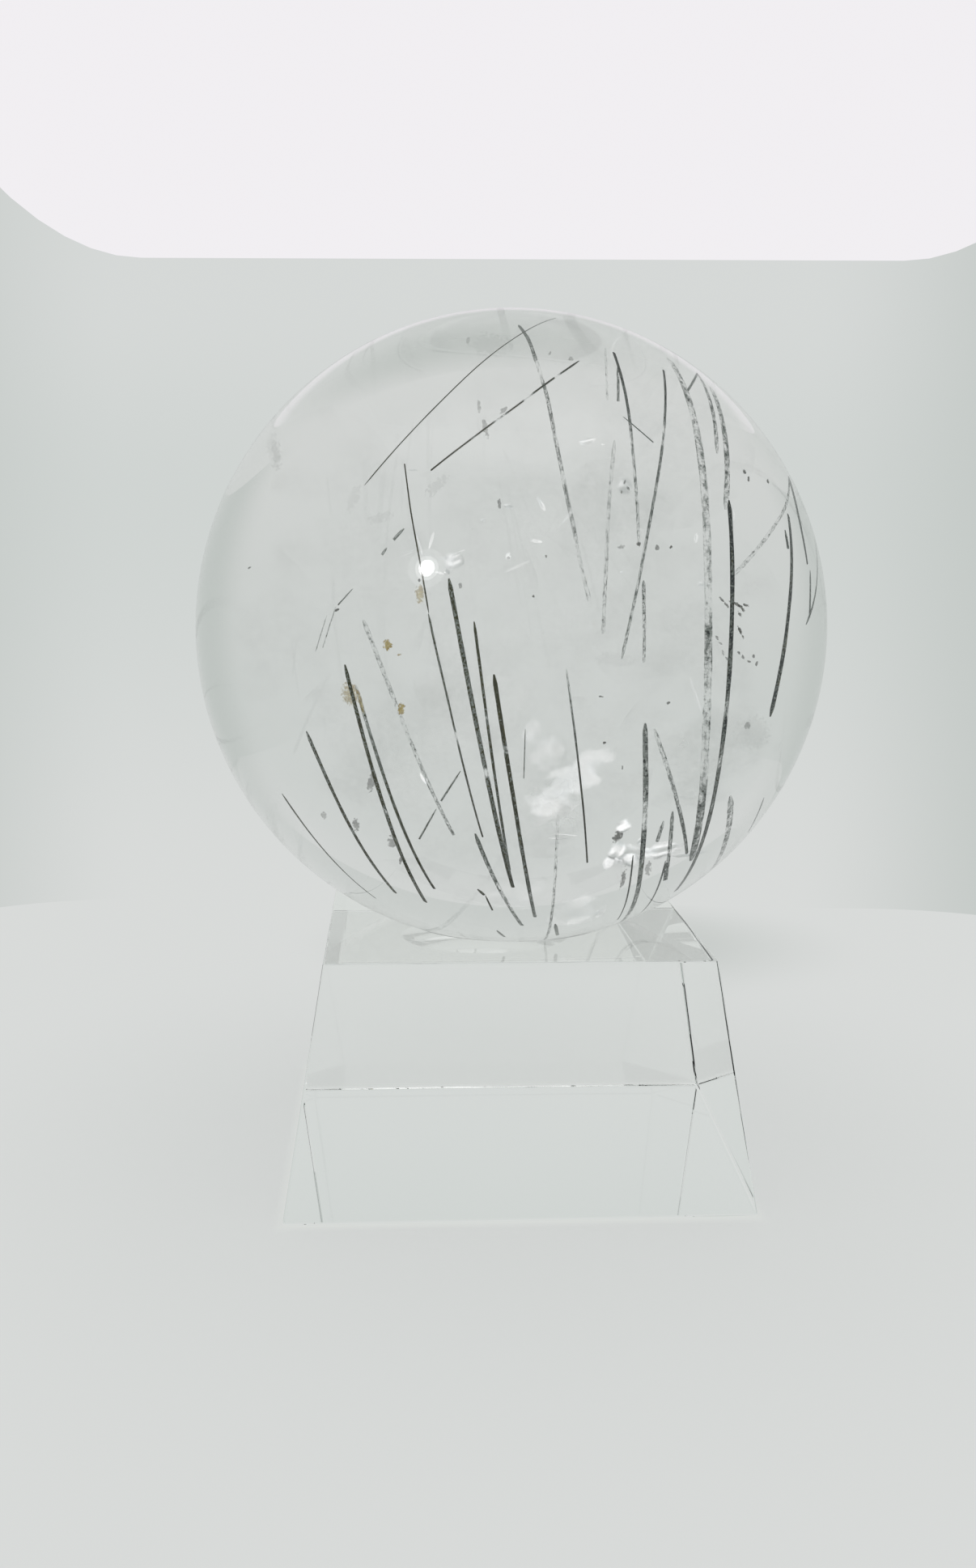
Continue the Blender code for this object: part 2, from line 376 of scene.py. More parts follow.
# %% [markdown]
# ## The ball of rock crystal
# The ball was ground between rotating cups until it was round to a few hundredths of a millimetre and then
# polished. A sphere with poles would bend light badly where its faces crowd together, so an icosphere, with
# faces of one size, is smoothed by its normals. The shader bends the light: quartz has an index of 1.544.


# %% Helpers for finished pieces
SHARP_ANGLE = math.radians(25)


def finish_piece(name, shape, materials, body, nodes=(), sharp=SHARP_ANGLE):
    """Turn a bmesh into a named object that moves with a body and stands for some solids."""
    for face in shape.faces:
        face.smooth = True
    for edge in shape.edges:
        edge.smooth = edge.calc_face_angle(0.0) < sharp
    piece = bpy.data.objects.new(name, bpy.data.meshes.new(name))
    shape.to_mesh(piece.data)
    shape.free()
    for material in materials:
        piece.data.materials.append(material)
    bpy.context.collection.objects.link(piece)
    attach(piece, body)
    if nodes:
        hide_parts(*nodes)
    print(name, len(piece.data.polygons), "faces")


print("edges are sharp from", SHARP_ANGLE)

# %% Mix clear stone
SMEAR_SCALE = 55.0
SMEAR_RANGE = (0.5, 0.8)
SMEAR_ROUGHNESS = 0.012


def clear_stone(name, tints, index):
    """Polished clear stone or glass, with a faint smear of handling on it."""
    material, nodes, shader = new_material(name)
    smear = nodes.cloud(nodes.place(), SMEAR_SCALE)
    nodes.feed(shader["Base Color"], nodes.mix(smear, *tints))
    nodes.feed(shader["Roughness"], nodes.step(smear, *SMEAR_RANGE, 0.0, SMEAR_ROUGHNESS))
    shader["Transmission Weight"].default_value = 1.0
    shader["IOR"].default_value = index
    return material


print("clear stone is at most this rough", SMEAR_ROUGHNESS)

# %% Make the ball
QUARTZ_INDEX = 1.544
QUARTZ_TINTS = ((0.92, 0.925, 0.915, 1.0), (0.965, 0.96, 0.96, 1.0))
BALL_DIVISIONS = 7

crystal = clear_stone("clear_rock_crystal", QUARTZ_TINTS, QUARTZ_INDEX)
ball_shape = bmesh.new()
bmesh.ops.create_icosphere(ball_shape, subdivisions=BALL_DIVISIONS, radius=BALL_RADIUS)
bmesh.ops.translate(ball_shape, verts=ball_shape.verts, vec=BALL_MIDDLE)
finish_piece("rock_crystal_ball", ball_shape, [crystal], BALL_BODY, ["quartz_ball"])

# %% [markdown]
# ## The glass stand
# The block is cast or sawn, ground flat on six sides and polished. Its edges are rounded over a little and
# polished too, so that they don't chip. A Bevel modifier would round the rim of the dish as well, so the
# block is a cube drawn in at the top, with small bevels of three steps. Its lid is taken off, the dish is
# spun from an arc, and a ring of triangles joins the dish to the four sides. The sides keep flat normals,
# because a bent normal would bend the picture that is seen through them.

# %% Make the glass block
ARRIS_TOP, ARRIS_SIDE = 0.3 * MM, 0.5 * MM
ARRIS_STEPS = 3
SEAT_GAP = 0.05 * MM
BLOCK_SHARP = math.radians(10)
DISH_STEPS, DISH_RINGS = 128, 24
GLASS_INDEX = 1.52
GLASS_TINTS = ((0.985, 0.996, 0.988, 1.0), (0.992, 1.0, 0.994, 1.0))
ARRIS = {"affect": "EDGES", "offset_type": "WIDTH", "segments": ARRIS_STEPS, "profile": 0.5, "material": -1}

seat_radius = BALL_RADIUS + SEAT_GAP
dish_angle = math.acos((BALL_MIDDLE.z - STAND_HEIGHT) / seat_radius)

block = bmesh.new()
bmesh.ops.create_cube(block, size=1.0)
bmesh.ops.scale(block, verts=block.verts, vec=(STAND_BASE, STAND_BASE, STAND_HEIGHT))
bmesh.ops.translate(block, verts=block.verts, vec=(0, 0, STAND_HEIGHT / 2))
upper = [v for v in block.verts if v.co.z > STAND_HEIGHT / 2]
bmesh.ops.scale(block, verts=upper, vec=(STAND_TOP / STAND_BASE, STAND_TOP / STAND_BASE, 1))
lower_edges = [e for e in block.edges if not all(v in upper for v in e.verts)]
bmesh.ops.bevel(block, geom=lower_edges, offset=ARRIS_SIDE, **ARRIS)
lid = max(block.faces, key=lambda f: f.calc_center_median().z)
bmesh.ops.bevel(block, geom=list(lid.edges), offset=ARRIS_TOP, **ARRIS)
lid = max(block.faces, key=lambda f: f.calc_center_median().z)
bmesh.ops.delete(block, geom=[lid], context="FACES_ONLY")
print("block walls", len(block.faces))

# %% Spin the dish and close the top
MERGE_REACH = 0.001 * MM

side_edges = set(block.edges)
arc_start = block.verts.new(BALL_MIDDLE - Vector((0, 0, seat_radius)))
bmesh.ops.spin(block, geom=[arc_start], cent=BALL_MIDDLE, axis=(0, -1, 0), angle=dish_angle,
               steps=DISH_RINGS)
arc_edges = [e for e in block.edges if e not in side_edges]
bmesh.ops.spin(block, geom=arc_edges, cent=(0, 0, 0), axis=(0, 0, 1), angle=2 * math.pi,
               steps=DISH_STEPS, use_merge=True)
bmesh.ops.remove_doubles(block, verts=block.verts, dist=MERGE_REACH)
open_edges = [e for e in block.edges if e.is_boundary]
bmesh.ops.triangle_fill(block, edges=open_edges, use_beauty=True, use_dissolve=False)
bmesh.ops.recalc_face_normals(block, faces=block.faces)
print("open edges left", sum(e.is_boundary for e in block.edges))
glass = clear_stone("polished_stand_glass", GLASS_TINTS, GLASS_INDEX)
finish_piece("dished_glass_block", block, [glass], STAND_BODY, ["glass_stand"],
             BLOCK_SHARP)

# %% [markdown]
# ## The needle crystals
# Tourmaline grows as thin prisms with a rounded three-sided section and fine ribs along them. In this ball
# the needles are dark green to black, and in places they are worn pale or broken where cracks in the quartz
# cross them. A needle could be a plain cylinder, but its tone changes along its length. So each one is a
# cylinder cut into rings, shaped ring by ring, and each ring carries a number for how worn it is there.

# %% How slim each needle looks, and how worn it is
# Each row has the share of the width that shows, the wear at the tip, the middle and the polished end, and
# the stretches that are more worn: where one starts and stops along the needle, and its wear.
WEAR = {
    "needle_top_hair": (0.42, (0.3, 0.2, 0.5), ()),
    "needle_top_slant": (0.5, (0.15, 0.2, 0.1), (
        (0.12, 0.14, 0.95), (0.29, 0.34, 0.85), (0.47, 0.53, 0.8), (0.67, 0.68, 0.6))),
    "needle_top_to_back": (0.62, (0.5, 0.72, 0.68), (
        (0.28, 0.34, 0.95), (0.65, 0.67, 0.9), (0.84, 1.0, 0.95))),
    "needle_left_upper": (0.36, (0.15, 0.1, 0.1), ()),
    "needle_right_top_thin": (0.75, (0.85, 0.65, 0.1), ()),
    "needle_right_top_slant": (0.62, (0.75, 0.62, 0.3), ((0.64, 0.7, 0.85),)),
    "needle_right_top_short": (0.8, (0.78, 0.62, 0.75), ()),
    "needle_right_upper": (0.85, (0.82, 0.62, 0.82), ()),
    "needle_back_faint": (0.58, (0.85, 0.8, 0.86), (
        (0.14, 0.22, 0.9), (0.41, 0.44, 0.9), (0.67, 0.74, 0.9))),
    "needle_left_long": (0.45, (0.4, 0.35, 0.2), ((0.46, 0.5, 0.8),)),
    "needle_left_pale": (0.6, (0.82, 0.82, 0.72), ((0.29, 0.47, 0.93),)),
    "needle_middle_dark": (0.72, (0.35, 0.45, 0.25), ((0.54, 0.55, 0.9),)),
    "needle_middle_thin": (0.82, (0.2, 0.25, 0.5), ((0.33, 0.34, 0.7),)),
    "needle_middle_low": (0.68, (0.0, 0.25, 0.6), ((0.23, 0.25, 0.65),)),
    "needle_middle_right": (0.42, (0.8, 0.1, 0.1), ()),
    "needle_right_middle_short": (0.85, (0.66, 0.76, 0.8), ()),
    "needle_spray_inner": (0.66, (0.75, 0.2, 0.2), ()),
    "needle_spray_middle": (0.9, (0.25, 0.25, 0.3), ((0.53, 0.54, 0.7),)),
    "needle_spray_outer": (0.88, (0.5, 0.25, 0.25), ((0.52, 0.54, 0.6),)),
    "needle_spray_hair": (0.6, (0.35, 0.3, 0.4), ()),
    "needle_bottom_left": (0.8, (0.5, 0.7, 0.6), ()),
    "needle_bottom_middle": (0.72, (0.95, 0.75, 0.65), ()),
    "needle_bottom_right": (0.75, (0.58, 0.5, 0.65), ((0.29, 0.38, 0.78),)),
    "needle_bottom_pale": (0.85, (0.85, 0.65, 0.45), ()),
    "needle_right_long_front": (0.66, (0.2, 0.4, 0.42), ((0.45, 0.47, 0.7), (0.58, 0.59, 0.7))),
    "needle_right_long_back": (0.85, (0.58, 0.72, 0.78), (
        (0.17, 0.34, 0.86), (0.43, 0.52, 0.88), (0.55, 0.66, 0.82), (0.76, 0.82, 0.85))),
    "needle_rim_slant": (0.62, (0.9, 0.8, 0.6), ()),
    "needle_rim_upper": (1.0, (0.2, 0.2, 0.2), ()),
    "needle_rim_long": (1.0, (0.2, 0.28, 0.4), ()),
    "needle_rim_short": (0.55, (0.5, 0.4, 0.5), ()),
    "needle_rim_low": (0.9, (0.75, 0.68, 0.78), ()),
}
print("worn needles", len(WEAR))


# %% Measure a needle
END_TOLERANCE, CAP_DEPTH = 0.12 * MM, 0.5 * MM


def needle_line(node):
    """A needle's tip, the middle of its polished end, and its width."""
    points = corner_points(node)
    polished_end = [p for p in points if (p - BALL_MIDDLE).length > BALL_RADIUS - END_TOLERANCE]
    outlet = sum(polished_end, Vector()) / len(polished_end)
    far = max(points, key=lambda p: (p - outlet).length)
    along = (far - outlet).normalized()
    reach = max((p - outlet).dot(along) for p in points)
    cap = [p for p in points if (p - outlet).dot(along) > reach - CAP_DEPTH]
    tip = sum(cap, Vector()) / len(cap)
    along = (tip - outlet).normalized()
    width = 2 * max((p - outlet - along * (p - outlet).dot(along)).length for p in points)
    return tip, outlet, width


needle_nodes = [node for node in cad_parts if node.startswith("needle_")]
print("needles", len(needle_nodes), needle_line(needle_nodes[0]))

# %% How worn a needle is along its length
BREAK_FADE = 0.02


def worn_at(worn, breaks, share):
    """How worn a needle is at a share of its length."""
    tip, middle, end = worn
    wear = middle + (tip - middle) * max(0.0, 1 - 2 * share) + (end - middle) * max(0.0, 2 * share - 1)
    for start, stop, depth in breaks:
        inside = min(share - start, stop - share) / BREAK_FADE
        wear += (depth - wear) * min(1.0, max(0.0, 1 + inside))
    return wear


print("a break fades out over", BREAK_FADE, "of the length")


# %% Map the grain of a needle
def map_grain(faces, grain):
    """Lay a map on a straight prism: millimetres along it and turns around it."""
    for face in faces:
        turns = [math.atan2(loop.vert.co.y, loop.vert.co.x) for loop in face.loops]
        wraps = max(turns) - min(turns) > math.pi
        for loop, turn in zip(face.loops, turns):
            around = (turn + (math.tau if wraps and turn < 0 else 0.0)) / math.tau
            loop[grain].uv = (loop.vert.co.z / MM, around)


print("the grain runs along each needle")

# %% Shape one needle
NEEDLE_SIDES = 18
RING_SPACING, FEWEST_RINGS = 0.5 * MM, 2
TIP_LENGTH, TIP_SHARE, TIP_PARTS = 0.9 * MM, 0.4, 3
SECTION_LOBES, LOBE_DEPTH = 3, 0.08
SECTION_RIBS, RIB_DEPTH = 9, 0.05
GIRTH_STEP, GIRTH_CHANGE = 2.5 * MM, 0.12
BEND_STEP, BEND_SIZE, BEND_SEED = 9.0 * MM, 0.08 * MM, 5.0
SEED_SPREAD = 7.0


def add_needle(shape, tip, outlet, width, worn, breaks=(), sides=NEEDLE_SIDES):
    """Add one ribbed prism to a bmesh, with its wear and a map of its grain."""
    wear = shape.verts.layers.float.get("wear") or shape.verts.layers.float.new("wear")
    grain = shape.loops.layers.uv.get("grain") or shape.loops.layers.uv.new("grain")
    count = len(shape.verts)
    length = (outlet - tip).length
    bmesh.ops.create_cone(shape, cap_ends=True, segments=sides, radius1=width / 2, radius2=width / 2,
                          depth=length)
    fresh = shape.verts[:][count:]
    bmesh.ops.translate(shape, verts=fresh, vec=(0, 0, length / 2))
    long_edges = [e for e in {e for v in fresh for e in v.link_edges} if e.calc_length() > length / 2]
    bmesh.ops.subdivide_edges(shape, edges=long_edges, cuts=max(FEWEST_RINGS, round(length / RING_SPACING)))
    fresh = shape.verts[:][count:]
    map_grain({f for v in fresh for f in v.link_faces}, grain)
    seed = tip.x / MM + SEED_SPREAD * tip.z / MM
    for vert in fresh:
        along, turn = vert.co.z, math.atan2(vert.co.y, vert.co.x)
        taper = min(1.0, TIP_SHARE + (1 - TIP_SHARE) * along / min(TIP_LENGTH, length / TIP_PARTS))
        lobes, ribs = math.cos(SECTION_LOBES * turn), math.cos(SECTION_RIBS * turn)
        section = 1 - LOBE_DEPTH + LOBE_DEPTH * lobes + RIB_DEPTH * ribs
        girth = 1 + GIRTH_CHANGE * noise.noise(Vector((along / GIRTH_STEP, seed, 0.0)))
        bend = BEND_SIZE * noise.noise(Vector((along / BEND_STEP, seed, BEND_SEED)))
        vert[wear] = worn_at(worn, breaks, along / length)
        ring_place = Vector((vert.co.x, vert.co.y, 0.0)) * taper * section * girth
        vert.co = ring_place + Vector((bend, -bend, along))
    lay = Vector((0, 0, 1)).rotation_difference(outlet - tip).to_matrix().to_4x4()
    bmesh.ops.transform(shape, matrix=Matrix.Translation(tip) @ lay, verts=fresh)


print("needle rings every", RING_SPACING)

# %% [markdown]
# ## The finish of tourmaline
# Seen through quartz, a needle hardly shines, because both stones bend light almost alike. What shows is
# its colour: black green, more olive on one side of the ball and bluer on the other, with pale streaks,
# specks and grit along the ribs. A painted picture could hold them, but three stretched noises never repeat.
# Where a needle is worn, the streaks widen, turn grey and open into gaps.


# %% Mix the tourmaline
NOISE_MIDDLE = 0.5
OLIVE_SIDE, BLUE_SIDE = -8.0 * MM, 16.0 * MM
STREAK_STRETCH, SPECK_STRETCH, GRIT_STRETCH = (0.3, 5.0, 1.0), (1.1, 4.5, 1.0), (3.6, 6.0, 1.0)
OLIVE, BLUE_BLACK = (0.045, 0.046, 0.01, 1.0), (0.022, 0.029, 0.031, 1.0)
BROWN = (0.13, 0.115, 0.03, 1.0)
WORN_GREY = (0.33, 0.37, 0.345, 1.0)
BROWN_START, BROWN_FULL = 0.0, 0.22
PALE_STREAK, PALE_SPECK, PALE_GRIT = 1.1, 0.9, 2.2
PALE_START, PALE_FULL = 0.18, 0.62
GAP_STREAK, GAP_SPECK, GAP_GRIT = 0.9, 1.3, 0.7
GAP_START, GAP_FULL, GAP_ALPHA = 0.34, 0.96, 0.03
NEEDLE_ROUGHNESS, NEEDLE_GLOSS = 0.45, 0.08


def tourmaline(name):
    """Dark ribbed crystal that turns grey and breaks up where it is worn."""
    material, nodes, shader = new_material(name)
    grain = nodes.node("ShaderNodeUVMap", {"uv_map": "grain"}, {})
    wear = nodes.attribute("wear")
    noises = []
    for stretch in (STREAK_STRETCH, SPECK_STRETCH, GRIT_STRETCH):
        place = nodes.node("ShaderNodeMapping", {}, {"Vector": grain, "Scale": stretch})
        noises.append(nodes.cloud(place, 1.0) - NOISE_MIDDLE)
    streak, speck, grit = noises
    across = nodes.split(nodes.place(), "X")[0]
    dark = nodes.mix(nodes.step(across, OLIVE_SIDE, BLUE_SIDE), OLIVE, BLUE_BLACK)
    body = nodes.mix(nodes.step(streak, BROWN_START, BROWN_FULL), dark, BROWN)
    paleness = wear + streak * PALE_STREAK + speck * PALE_SPECK + grit * PALE_GRIT
    pale = nodes.step(paleness, PALE_START, PALE_FULL)
    nodes.feed(shader["Base Color"], nodes.mix(pale, body, WORN_GREY))
    openness = wear + speck * GAP_SPECK + streak * GAP_STREAK + grit * GAP_GRIT
    nodes.feed(shader["Alpha"], nodes.step(openness, GAP_START, GAP_FULL, 1.0, GAP_ALPHA))
    shader["Roughness"].default_value = NEEDLE_ROUGHNESS
    shader["Specular IOR Level"].default_value = NEEDLE_GLOSS
    return material


tourmaline_finish = tourmaline("ribbed_tourmaline")
print("tourmaline mixed")

# %% Grow the needles of the solids
POLISH_DEPTH = 0.03 * MM
for node in needle_nodes:
    tip, outlet, width = needle_line(node)
    needle = bmesh.new()
    past = (outlet - tip).normalized() * width
    slim, worn, breaks = WEAR[node]
    add_needle(needle, tip, outlet + past, width * slim, worn, breaks)
    outward = (outlet - BALL_MIDDLE).normalized()
    surface_point = BALL_MIDDLE + outward * (BALL_RADIUS - POLISH_DEPTH)
    everything = needle.verts[:] + needle.edges[:] + needle.faces[:]
    cut = bmesh.ops.bisect_plane(needle, geom=everything, plane_co=surface_point, plane_no=outward,
                                 clear_outer=True)
    rim = [g for g in cut["geom_cut"] if isinstance(g, bmesh.types.BMEdge)]
    bmesh.ops.edgeloop_fill(needle, edges=rim)
    bmesh.ops.recalc_face_normals(needle, faces=needle.faces)
    finish_piece(node.replace("needle_", "tourmaline_"), needle, [tourmaline_finish], BALL_BODY,
                 [node])

# %% [markdown]
# ## Finding a place inside the ball
# Something that lies inside the ball doesn't show where a straight line would put it, because the polished
# surface bends every ray. So a spot that was read off the photograph is traced: a ray leaves the camera
# through its pixel, is bent at the surface by Snell's law, and is followed for a share of its way through.


# %% Trace a pixel into the ball
def place_inside(across, down, depth):
    """The point in the ball that shows at a pixel, at a share of the way through the ball."""
    pixel = Vector((across - IMAGE_WIDTH / 2, IMAGE_HEIGHT / 2 - down, -FOCAL_PIXELS))
    ray = camera_turn.to_3x3() @ pixel
    ray.normalize()
    start = CAMERA_PLACE - BALL_MIDDLE
    ahead = -start.dot(ray)
    entry = start + ray * (ahead - math.sqrt(ahead ** 2 - start.length_squared + BALL_RADIUS ** 2))
    outward = entry.normalized()
    facing = -ray.dot(outward)
    steepness = math.sqrt(1 - (1 - facing ** 2) / QUARTZ_INDEX ** 2)
    inward = ray / QUARTZ_INDEX + outward * (facing / QUARTZ_INDEX - steepness)
    return BALL_MIDDLE + entry + inward * 2 * BALL_RADIUS * steepness * depth


print("the middle of the picture shows", place_inside(IMAGE_WIDTH / 2, IMAGE_HEIGHT / 2, 0.5))

# %% [markdown]
# ## Hair-thin needles
# Between the larger needles lie some that are thinner than a hair or only a few millimetres long. They were
# too fine to be solids of their own. They are made in the same way, all in one piece, a few tenths of a
# millimetre thick at most.

# %% Grow the hair-thin needles
# Each row has two ends, as a pixel across, a pixel down and a depth, then the width in millimetres and the
# wear.
HAIR_SIDES = 8
HAIRS = (
    ((569, 953, 0.35), (545, 990, 0.35), 0.22, 0.58), ((539, 1000, 0.35), (518, 1037, 0.35), 0.2, 0.55),
    ((590, 1099, 0.12), (598, 1106, 0.12), 0.4, 0.1), ((600, 1107, 0.12), (608, 1125, 0.12), 0.25, 0.15),
    ((614, 1150, 0.05), (623, 1158, 0.05), 0.4, 0.5), ((686, 1142, 0.1), (689, 1156, 0.06), 0.5, 0.5),
    ((782, 1057, 0.25), (763, 1137, 0.1), 0.2, 0.2), ((822, 1064, 0.25), (792, 1128, 0.1), 0.25, 0.3),
    ((763, 453, 0.25), (764, 496, 0.3), 0.3, 0.65), ((1001, 705, 0.3), (1000, 763, 0.3), 0.3, 0.4),
    ((970, 655, 0.3), (974, 678, 0.3), 0.35, 0.35), ((944, 986, 0.2), (924, 1029, 0.2), 0.3, 0.5),
    ((770, 515, 0.3), (807, 547, 0.3), 0.14, 0.45), ((649, 901, 0.25), (647, 962, 0.25), 0.14, 0.58),
    ((748, 430, 0.3), (750, 494, 0.3), 0.25, 0.9), ((831, 1003, 0.3), (825, 1072, 0.25), 0.5, 0.65),
    ((862, 461, 0.15), (850, 482, 0.15), 0.3, 0.5), ((820, 1015, 0.3), (812, 1040, 0.3), 0.4, 0.65),
    ((499, 653, 0.4), (486, 667, 0.4), 0.3, 0.62), ((478, 677, 0.4), (472, 686, 0.4), 0.25, 0.65),
    ((436, 728, 0.3), (418, 748, 0.3), 0.15, 0.6), ((415, 750, 0.3), (399, 800, 0.35), 0.15, 0.75),
    ((404, 760, 0.3), (390, 805, 0.33), 0.12, 0.75), ((824, 1066, 0.25), (822, 1088, 0.22), 0.6, 0.5),
)

hair_needles = bmesh.new()
for start, end, width, worn in HAIRS:
    tip, outlet = place_inside(*start), place_inside(*end)
    add_needle(hair_needles, tip, outlet, width * MM, (worn, worn, worn), sides=HAIR_SIDES)
bmesh.ops.recalc_face_normals(hair_needles, faces=hair_needles.faces)
finish_piece("hair_thin_needles", hair_needles, [tourmaline_finish], BALL_BODY)

# %% [markdown]
# ## Healed cracks and small guests
# No quartz ball of this size is flawless. It has healed cracks, open cracks, grains of other minerals and
# stains of iron. Planes with a picture on them would be quick, but they have no body and look like cards
# from the side. Here each one is a thin lens: an icosphere pressed flat, curled a little and turned. It
# carries two numbers, how far a point is from its middle and how strongly it shows, so that the finish can
# fade it out towards its edge.

# %% Aim an inclusion at the light
MIRROR_AIM = 70
AIM_NEAR, AIM_FAR = 0.4, 0.6


def pixel_span(across, down, depth):
    """How wide and how high one pixel is at a place inside the ball."""
    wide = place_inside(across + 1, down, depth) - place_inside(across - 1, down, depth)
    high = place_inside(across, down + 1, depth) - place_inside(across, down - 1, depth)
    return wide.length / 2, high.length / 2


def mirror_lean(across, down):
    """The lean at which a sheet shows the camera a mirror image of the top light."""
    inward = place_inside(across, down, AIM_FAR) - place_inside(across, down, AIM_NEAR)
    return (math.degrees(math.atan2(inward.z, inward.y)) - MIRROR_AIM) / 2


print("the top light stands at", MIRROR_AIM, "degrees")

# %% Shape one inclusion
SHEET_THICKNESS, SHEET_CURL = 0.06, 0.2
CURL_SEEDS, TILT_SEED = 50, 7
tilts = random.Random(TILT_SEED)


def add_sheet(shape, across, down, width, height, roll, depth, strength, lean, swing, divisions):
    """Add one thin curled lens to a bmesh, with its place and size in pixels."""
    edge = shape.verts.layers.float.get("edge") or shape.verts.layers.float.new("edge")
    show = shape.verts.layers.float.get("show") or shape.verts.layers.float.new("show")
    count, seed = len(shape.verts), tilts.uniform(0, CURL_SEEDS)
    bmesh.ops.create_icosphere(shape, subdivisions=divisions, radius=1.0)
    fresh = shape.verts[:][count:]
    for vert in fresh:
        vert[edge], vert[show] = math.hypot(vert.co.x, vert.co.z), strength
        curl = SHEET_CURL * noise.noise(Vector((vert.co.x, vert.co.z, seed)))
        vert.co.y = vert.co.y * SHEET_THICKNESS + curl
    pixel_wide, pixel_high = pixel_span(across, down, depth)
    wide, high = width * pixel_wide / 2, height * pixel_high / 2
    bmesh.ops.scale(shape, verts=fresh, vec=(wide, min(wide, high), high))
    lean_turn = Matrix.Rotation(math.radians(lean + tilts.uniform(-swing, swing) / 2), 4, "X")
    roll_turn = Matrix.Rotation(math.radians(roll), 4, "Y")
    swing_turn = Matrix.Rotation(math.radians(tilts.uniform(-swing, swing)), 4, "Z")
    place = Matrix.Translation(place_inside(across, down, depth))
    bmesh.ops.transform(shape, verts=fresh, matrix=place @ swing_turn @ lean_turn @ roll_turn)


print("sheets are", SHEET_THICKNESS, "of their width thick")


# %% Make a piece of many inclusions
def make_sheets(name, rows, finish, shining, swing, divisions):
    """Make one piece of all the lenses in a table. Shining ones lean towards the top light."""
    shape = bmesh.new()
    for row in rows:
        lean = mirror_lean(*row[:2]) if shining else 0
        add_sheet(shape, *row, lean, swing, divisions)
    finish_piece(name, shape, [finish], BALL_BODY)


print("inclusions turn with the", BALL_BODY)

# %% Mix the finish of an inclusion
DUST_FINENESS = 4.0
PATCH_RANGE, DUST_RANGE = (0.35, 0.65), (0.35, 0.6)
PATCH_EDGE = 2.4


def inclusion_finish(name, colours, grain, detail, metal, softness, speckle=0.45, roughness=0.35):
    """A patchy finish that fades towards the edge of every lens."""
    material, nodes, shader = new_material(name)
    patch = nodes.cloud(nodes.place(), grain, detail)
    dust = nodes.cloud(nodes.place(), grain * DUST_FINENESS, detail)
    edge, show = nodes.attribute("edge"), nodes.attribute("show")
    nodes.feed(shader["Base Color"], nodes.mix(nodes.step(patch, *PATCH_RANGE), *colours))
    body = nodes.step(edge + (patch - NOISE_MIDDLE) * PATCH_EDGE, 1.0 - softness, 1.0, 1.0, 0.0)
    nodes.feed(shader["Alpha"], show * body * nodes.step(dust, *DUST_RANGE, speckle, 1.0))
    shader["Metallic"].default_value = metal
    shader["Roughness"].default_value = roughness
    return material


print("dust is", DUST_FINENESS, "times as fine as the patches")

# %% [markdown]
# ## White veils
# Cracks that opened while the crystal grew were healed by new quartz and left thin white veils. They are
# wide and faint, so they are the largest and weakest of the lenses. A white paint would look grey inside the
# ball. A soft metal that leans the right way shows the bright top light instead.

# %% Hang the white veils
# Each row is a pixel across and down, the width and height in pixels, the roll in degrees, the depth and
# the strength.
VEIL_COLOURS = ((0.96, 0.97, 0.96, 1.0), (0.92, 0.94, 0.93, 1.0))
CRACK_SWING = 12
VEIL_DIVISIONS = 4
VEILS = (
    (640, 610, 330, 300, 20, 0.42, 0.12), (555, 730, 220, 230, -30, 0.5, 0.13),
    (705, 790, 330, 330, 60, 0.6, 0.12), (600, 1050, 300, 220, 10, 0.4, 0.1),
    (430, 700, 190, 420, -8, 0.45, 0.12), (850, 780, 260, 330, -15, 0.45, 0.16),
    (815, 540, 240, 280, 35, 0.38, 0.15), (705, 965, 190, 250, 25, 0.5, 0.3),
    (870, 930, 200, 230, -35, 0.4, 0.26), (340, 800, 130, 320, 5, 0.55, 0.1),
    (500, 930, 280, 330, 40, 0.65, 0.22), (610, 490, 300, 200, -10, 0.6, 0.05),
    (760, 640, 150, 170, 0, 0.35, 0.2), (600, 850, 170, 260, -20, 0.35, 0.2),
)

veil_finish = inclusion_finish("healed_crack_veil", VEIL_COLOURS, grain=200.0, detail=1.5, metal=0.9,
                               softness=0.9)
make_sheets("healed_crack_veils", VEILS, veil_finish, True, CRACK_SWING, VEIL_DIVISIONS)

# %% [markdown]
# ## Bright flakes
# Cracks that stayed open hold a film of air and shine like flakes of silver. They are made as the veils are,
# but smaller, smoother, harder at the edge and stronger. A few thin ones round the lamp's small image are
# not
# cracks: they are strokes of painted glint, for the flare of its light.

